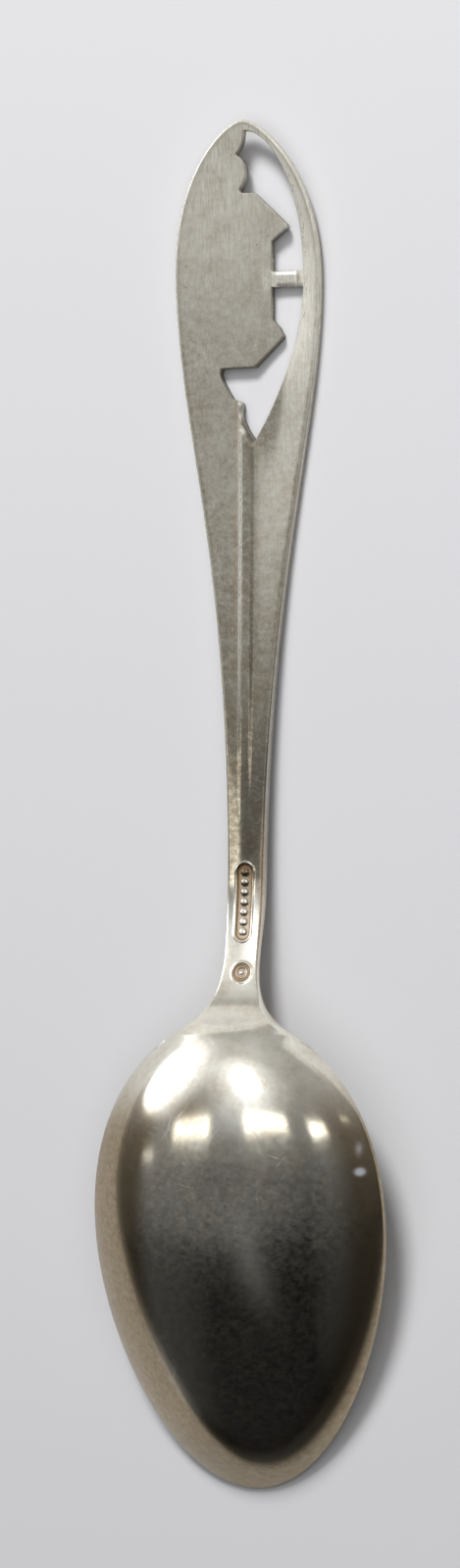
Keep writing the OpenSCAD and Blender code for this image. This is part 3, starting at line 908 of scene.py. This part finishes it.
def silver(name):
    """Old silver, brushed on the handle and polished on the bowl. The network is the same on every piece, so
    that the joints between the pieces don't show."""
    material = bpy.data.materials.new(name)
    material.use_nodes = True
    tree = material.node_tree
    shader = tree.nodes["Principled BSDF"]

    def math_node(kind, a, b=0.0, c=0.0):
        return put(tree, "ShaderNodeMath", {0: a, 1: b, 2: c}, operation=kind, use_clamp=False).outputs[0]

    def ranged(value, low, high, start, end):
        return put(tree, "ShaderNodeMapRange", {"Value": value, 1: low, 2: high, 3: start, 4: end}).outputs[0]

    def blend(factor, a, b):
        return put(tree, "ShaderNodeMix", {0: factor, 6: a, 7: b}, data_type="RGBA").outputs[2]

    def noise(vector, scale, detail=4.0, roughness=0.6):
        return put(tree, "ShaderNodeTexNoise", {"Vector": vector, "Scale": scale, "Detail": detail,
                                                "Roughness": roughness}).outputs[0]

    def stretched(scale, turn=0.0, offset=0.0):
        """Position in millimetres along axes turned about Z in degrees, times a scale."""
        return put(tree, "ShaderNodeMapping", {
            "Vector": point, "Location": (offset, offset, 0), "Rotation": (0, 0, math.radians(turn)),
            "Scale": tuple(1 / value for value in scale)}, vector_type="TEXTURE").outputs[0]

    place = put(tree, "ShaderNodeTexCoord").outputs["Object"]
    point = put(tree, "ShaderNodeVectorMath", {0: place, "Scale": 1 / MM}, operation="SCALE").outputs[0]
    satin, tone, warm, wear_and_glint, grime_and_shade, stain, patina = (
        put(tree, "ShaderNodeAttribute", attribute_name=key).outputs["Fac"]
        for key in ("satin", "tone", "warm", "wear_and_glint", "grime_and_shade", "stain", "patina"))

    cloud = noise(point, 0.45, 9.0, 0.66)
    mottle = noise(stretched((0.8, 1, 1), offset=31), 1.6, 8.0, 0.72)
    brushed = noise(stretched((11, 0.5, 2)), 1.0, 5.0, 0.7)
    fine = noise(stretched((30, 1.6, 4), turn=4), 1.0, 3.0, 0.6)
    scratches = None
    for k, turn in enumerate((3, 28, -40, 75, -14)):
        line = noise(stretched((7, 0.16, 0.5), turn=turn, offset=17 * k), 1.0, 2.0, 0.5)
        line = ranged(line, 0.71, 0.75, 0.0, 1.0)
        scratches = line if scratches is None else math_node("MAXIMUM", scratches, line)
    spot = put(tree, "ShaderNodeTexVoronoi", {"Vector": point, "Scale": 0.8})
    speck = math_node("MULTIPLY", ranged(spot.outputs["Distance"], 0.05, 0.11, 1.0, 0.0),
                      ranged(put(tree, "ShaderNodeSeparateColor", {0: spot.outputs["Color"]}).outputs[0],
                             0.72, 0.74, 0.0, 1.0))

    patch = ranged(cloud, 0.38, 0.66, 0.0, 1.0)
    blotch = ranged(mottle, 0.36, 0.68, 0.0, 1.0)
    aged = blend(math_node("MULTIPLY", patch, 0.55), (*CLEAN, 1), blend(blotch, (*DULL, 1), (*TAN, 1)))
    yellowed = blend(warm, aged, blend(blotch, (*BEIGE, 1), (*BROWN, 1)))
    darkening = math_node("MULTIPLY", tone, ranged(blotch, 0.0, 1.0, 0.78, 1.16))
    dark = blend(darkening, yellowed, blend(patch, (*STEEL, 1), (*UMBER, 1)))
    # Tone above 1 paints near-black shade on the walls round the window.
    shaded = blend(ranged(tone, 1.0, 2.0, 0.0, 1.0), dark, (*PAINTED_WALL_SHADE, 1))
    streaked = blend(math_node("MULTIPLY", satin, ranged(brushed, 0.36, 0.6, 0.34, 0.0)), shaded, (*GROOVE, 1))
    glinting = blend(math_node("MULTIPLY", satin, ranged(fine, 0.5, 0.72, 0.0, 0.34)), streaked, (*CLEAN, 1))
    lined = blend(math_node("MULTIPLY", scratches, 0.14), glinting, (*CLEAN, 1))
    # Lighter where worn and where highlights are painted along the edges, the rib and the bow.
    worn_and_lit = blend(math_node("MULTIPLY", wear_and_glint, 0.8), lined, (*CLEAN, 1))
    spotted = blend(math_node("MULTIPLY", speck, 0.6), worn_and_lit, (*UMBER, 1))
    # Brown of old dirt in the marks and beside the rib, and painted shade along the neck's right edge.
    dirty_and_shaded = blend(grime_and_shade, spotted, (*DIRT_AND_SHADE, 1))
    stained = blend(stain, dirty_and_shaded, (*CHALK, 1))
    tree.links.new(stained, shader.inputs["Base Color"])

    base = math_node("MULTIPLY", ranged(satin, 0.0, 1.0, 0.125, 0.46), ranged(wear_and_glint, 0.0, 1.0, 1.0, 0.5))
    varied = math_node("MULTIPLY", base, ranged(mottle, 0.3, 0.7, 0.8, 1.25))
    brushing = math_node("MULTIPLY_ADD", satin, ranged(brushed, 0.3, 0.7, -0.06, 0.06), varied)
    rough = math_node("MULTIPLY_ADD", grime_and_shade, 0.3, math_node("MULTIPLY_ADD", scratches, 0.08, brushing))
    tree.links.new(rough, shader.inputs["Roughness"])

    matt = math_node("MULTIPLY", satin, ranged(tone, 0.0, 1.0, 1.0, 0.5))
    mottled = math_node("MULTIPLY", math_node("MULTIPLY", ranged(patch, 0.0, 1.0, 0.35, 1.0), blotch), patina)
    film = math_node("MULTIPLY_ADD", matt, -0.28, math_node("MULTIPLY_ADD", mottled, -0.078, 1.0))
    dull = math_node("MULTIPLY_ADD", stain, -0.6, math_node("MULTIPLY_ADD", grime_and_shade, -0.4, film))
    tree.links.new(dull, shader.inputs["Metallic"])

    height = math_node("MULTIPLY_ADD", math_node("MULTIPLY", brushed, satin), 1.0,
                       math_node("MULTIPLY", scratches, -0.2))
    bump = put(tree, "ShaderNodeBump", {"Strength": 0.28, "Distance": 0.000015, "Height": height})
    tree.links.new(bump.outputs[0], shader.inputs["Normal"])
    return material


polished_silver = silver("polished_silver")
bright_silver = silver("bright_silver")
satin_silver = silver("satin_silver")
pieces = {
    bowl(): polished_silver, bowl_heel(): bright_silver, neck(): bright_silver, stem(): satin_silver,
    stem_rib(): satin_silver, terminal_panel(): satin_silver, terminal_bow(): bright_silver,
    cupola_tie(): bright_silver,
}
for piece, material in pieces.items():
    piece.data.materials.append(material)


# ---------------------------------------------------------------- floor
def floor():
    """A plain pale sheet, painted brighter to the north and darker to the south. Only in the metal's mirror does
    it turn black past a slanting line to the south-east: a painted dark reflection.
    """
    size = 3.0
    mesh = bpy.data.meshes.new("paper_floor")
    corners = [(-size, -size, 0), (size, -size, 0), (size, size, 0), (-size, size, 0)]
    mesh.from_pydata(corners, [], [(0, 1, 2, 3)])
    piece = bpy.data.objects.new("paper_floor", mesh)
    bpy.context.scene.collection.objects.link(piece)
    material = bpy.data.materials.new("pale_paper")
    material.use_nodes = True
    tree = material.node_tree
    shader = tree.nodes["Principled BSDF"]
    parts = put(tree, "ShaderNodeSeparateXYZ",
                {0: put(tree, "ShaderNodeTexCoord").outputs["Object"]}).outputs
    # Painted dark reflection: glossy rays see the sheet black past a slanting line to the south-east.
    across = put(tree, "ShaderNodeMath", {0: parts["X"], 1: 0.6}, operation="MULTIPLY").outputs[0]
    away = put(tree, "ShaderNodeMath", {0: parts["Y"], 1: -0.8, 2: across}, operation="MULTIPLY_ADD").outputs[0]
    far = put(tree, "ShaderNodeMapRange", {"Value": away, 1: 0.068, 2: 0.09}).outputs[0]
    mirrored = put(tree, "ShaderNodeLightPath").outputs["Is Glossy Ray"]
    mirrored_dark = put(tree, "ShaderNodeMath", {0: far, 1: mirrored}, operation="MULTIPLY").outputs[0]
    # Painted light: the sheet darker to the south and brighter to the north.
    north = put(tree, "ShaderNodeMapRange", {"Value": parts["Y"], 1: -0.09, 2: 0.09}).outputs[0]
    paper = put(tree, "ShaderNodeMix", {0: north, 6: (*PAPER_NEAR, 1), 7: (*PAPER_FAR, 1)}, data_type="RGBA")
    shade = put(tree, "ShaderNodeMix", {0: mirrored_dark, 6: paper.outputs[2], 7: (*PAINTED_DARK_REFLECTION, 1)}, data_type="RGBA")
    tree.links.new(shade.outputs[2], shader.inputs["Base Color"])
    shader.inputs["Roughness"].default_value = 0.9
    shader.inputs["Specular IOR Level"].default_value = 0.2
    mesh.materials.append(material)


floor()


# ---------------------------------------------------------------- light
ROOM_H = 1.5


def ceiling_spot(east, north):
    """A point on the ceiling, in metres, from its place in ceiling heights."""
    return Vector((east * ROOM_H, north * ROOM_H, ROOM_H))


def lamp(name, place, size, radiance, colour=(1, 1, 1), shape="RECTANGLE", turn=0.0, facing=None,
         mirrored_in_metal=True):
    """An area lamp of that radiance at a place in metres. It faces the spoon, or along facing."""
    data = bpy.data.lights.new(name, "AREA")
    data.shape = shape
    data.size, data.size_y = size
    data.energy = radiance * size[0] * size[1] * math.pi * (math.pi / 4 if shape == "ELLIPSE" else 1)
    data.color = colour
    piece = bpy.data.objects.new(name, data)
    piece.location = place
    piece.rotation_mode = "QUATERNION"
    aim = Vector(facing or place).to_track_quat("Z", "Y")
    piece.rotation_quaternion = Quaternion((0, 0, 1), math.radians(turn)) @ aim
    piece.visible_camera = False
    piece.visible_glossy = mirrored_in_metal
    piece.visible_diffuse = not mirrored_in_metal
    bpy.context.scene.collection.objects.link(piece)


for k, (east, north, wide, deep, turn) in enumerate((
        (-0.7, 0.14, 0.58, 0.09, -2), (0.22, 0.19, 0.5, 0.09, 9), (1.08, 0.35, 0.5, 0.13, 18))):
    lamp(f"ceiling_panel_{k + 1}", ceiling_spot(east, north), (wide * ROOM_H, deep * ROOM_H), 2.2,
         CEILING_TINT, turn=turn, facing=(0, 0, 1))
for k, (width, depth, radiance) in enumerate((
        (0.55, 0.8, 2.0), (0.75, 1.05, 0.5), (1.0, 1.3, 0.45), (1.3, 1.6, 0.35), (1.6, 1.9, 0.2))):
    lamp(f"window_{k + 1}", Vector((-0.87 + 0.03 * k, 0.36 + 0.05 * k, 0.34 + 0.03 * k)) * (1.6 + 0.03 * k),
         (width, depth), radiance, SKY_TINT, shape="ELLIPSE")
for k, (width, depth, radiance) in enumerate((
        (0.5, 0.4, 1.5), (0.75, 0.6, 0.35), (1.1, 0.85, 0.25), (1.6, 1.1, 0.18), (2.3, 1.3, 0.12))):
    lamp(f"lantern_{k + 1}", Vector((0.02 - 0.02 * k, 0.43, 0.9)) * (1.7 + 0.03 * k), (width, depth), radiance,
         SKY_TINT, shape="ELLIPSE")
lamp("west_slit", Vector((-0.87, 0.02, 0.47)) * 1.7, (0.04, 0.24), 1.5)
lamp("east_slit", Vector((0.9, 0.35, 0.27)) * 1.7, (0.06, 0.24), 1.0)
lamp("neck_glint", Vector((-0.62, 0.62, 0.5)) * 1.7, (0.3, 0.3), 0.8, shape="ELLIPSE")
lamp("fill", Vector((0.14, 0.4, 3.0)), (4.4, 4.4), 1.0, mirrored_in_metal=False)


def key_lamp():
    """Low light from the north, which draws the shadows but isn't mirrored in the metal."""
    data = bpy.data.lights.new("key", "SUN")
    data.energy = 2.35
    data.angle = math.radians(17)
    piece = bpy.data.objects.new("key", data)
    piece.rotation_mode = "QUATERNION"
    piece.rotation_quaternion = Vector((-0.08, 0.67, 0.72)).to_track_quat("Z", "Y")
    piece.visible_glossy = False
    bpy.context.scene.collection.objects.link(piece)


key_lamp()


def room():
    """What the metal mirrors beyond the sheet: a dark near wall and ceiling, a far wall that is pale from low to
    high and dimmer to the east, and pale lines along the far and left horizon. It doesn't light the sheet."""
    world = bpy.data.worlds.new("room")
    world.use_nodes = True
    tree = world.node_tree

    def ramp(value, stops):
        node = put(tree, "ShaderNodeValToRGB", {"Fac": value})
        elements = node.color_ramp.elements
        while len(elements) < len(stops):
            elements.new(0.5)
        for element, (place, level) in zip(elements, stops):
            element.position = place
            element.color = (level, level, level, 1)
        return node.outputs[0]

    def times(a, b):
        return put(tree, "ShaderNodeMath", {0: a, 1: b}, operation="MULTIPLY").outputs[0]

    def plus(a, b):
        return put(tree, "ShaderNodeMath", {0: a, 1: b}, operation="ADD").outputs[0]

    def halved(value):
        return put(tree, "ShaderNodeMapRange", {"Value": value, 1: -1, 2: 1}).outputs[0]

    direction = put(tree, "ShaderNodeTexCoord").outputs["Generated"]
    parts = put(tree, "ShaderNodeSeparateXYZ", {"Vector": direction}).outputs
    wall = ramp(halved(parts["Y"]), [
        (0.0, 0.008), (0.28, 0.009), (0.4, 0.018), (0.5, 0.1), (0.56, 0.2), (0.62, 0.29), (0.7, 0.46),
        (0.8, 0.62), (0.92, 0.58), (0.96, 0.45), (1.0, 0.42)])
    east_dim = ramp(halved(parts["X"]), [(0.0, 1.0), (0.55, 1.0), (0.8, 0.62), (1.0, 0.62)])
    sides = ramp(halved(parts["X"]), [
        (0.0, 0.03), (0.12, 0.02), (0.3, 0.0), (0.8, 0.0), (0.95, 0.035), (1.0, 0.035)])
    far_line = times(ramp(parts["Z"], [(0.0, 1.0), (0.12, 1.0), (0.17, 0.0), (1.0, 0.0)]),
                     ramp(halved(parts["Y"]), [(0.0, 0.0), (0.8, 0.0), (0.9, 0.3), (1.0, 0.3)]))
    left_line = times(ramp(parts["Z"], [(0.0, 1.0), (0.04, 1.0), (0.1, 0.0), (1.0, 0.0)]),
                      ramp(halved(parts["X"]), [(0.0, 0.12), (0.1, 0.12), (0.2, 0.0), (1.0, 0.0)]))
    line = plus(far_line, left_line)
    tree.links.new(plus(plus(times(wall, east_dim), sides), line), tree.nodes["Background"].inputs["Color"])
    world.cycles_visibility.diffuse = False
    bpy.context.scene.world = world


room()


# ---------------------------------------------------------------- camera
CAMERA_TILT = 17
CAMERA_ROLL = 0.285
CAMERA_DISTANCE = 0.55
LOOK_AT = Vector((0, 0.002, 0))
VIEW_HEIGHT = 0.16047
SENSOR = 36


def camera():
    data = bpy.data.cameras.new("camera")
    data.sensor_width = SENSOR
    data.lens = SENSOR * CAMERA_DISTANCE / VIEW_HEIGHT
    data.shift_x, data.shift_y = -0.01525, 0.0012
    data.clip_start, data.clip_end = 0.01, 20
    tilt = math.radians(CAMERA_TILT)
    back = Vector((math.sin(tilt), 0, math.cos(tilt)))
    right = Vector((math.cos(tilt), 0, -math.sin(tilt)))
    turned = Matrix.Rotation(math.radians(-CAMERA_ROLL), 3, back)
    right, up = turned @ right, turned @ Vector((0, 1, 0))
    rig = bpy.data.objects.new("camera", data)
    rig.matrix_world = Matrix.Translation(LOOK_AT + back * CAMERA_DISTANCE) @ Matrix(
        (right, up, back)).transposed().to_4x4()
    bpy.context.scene.collection.objects.link(rig)
    bpy.context.scene.camera = rig


camera()
bpy.context.scene.view_settings.view_transform = "Standard"
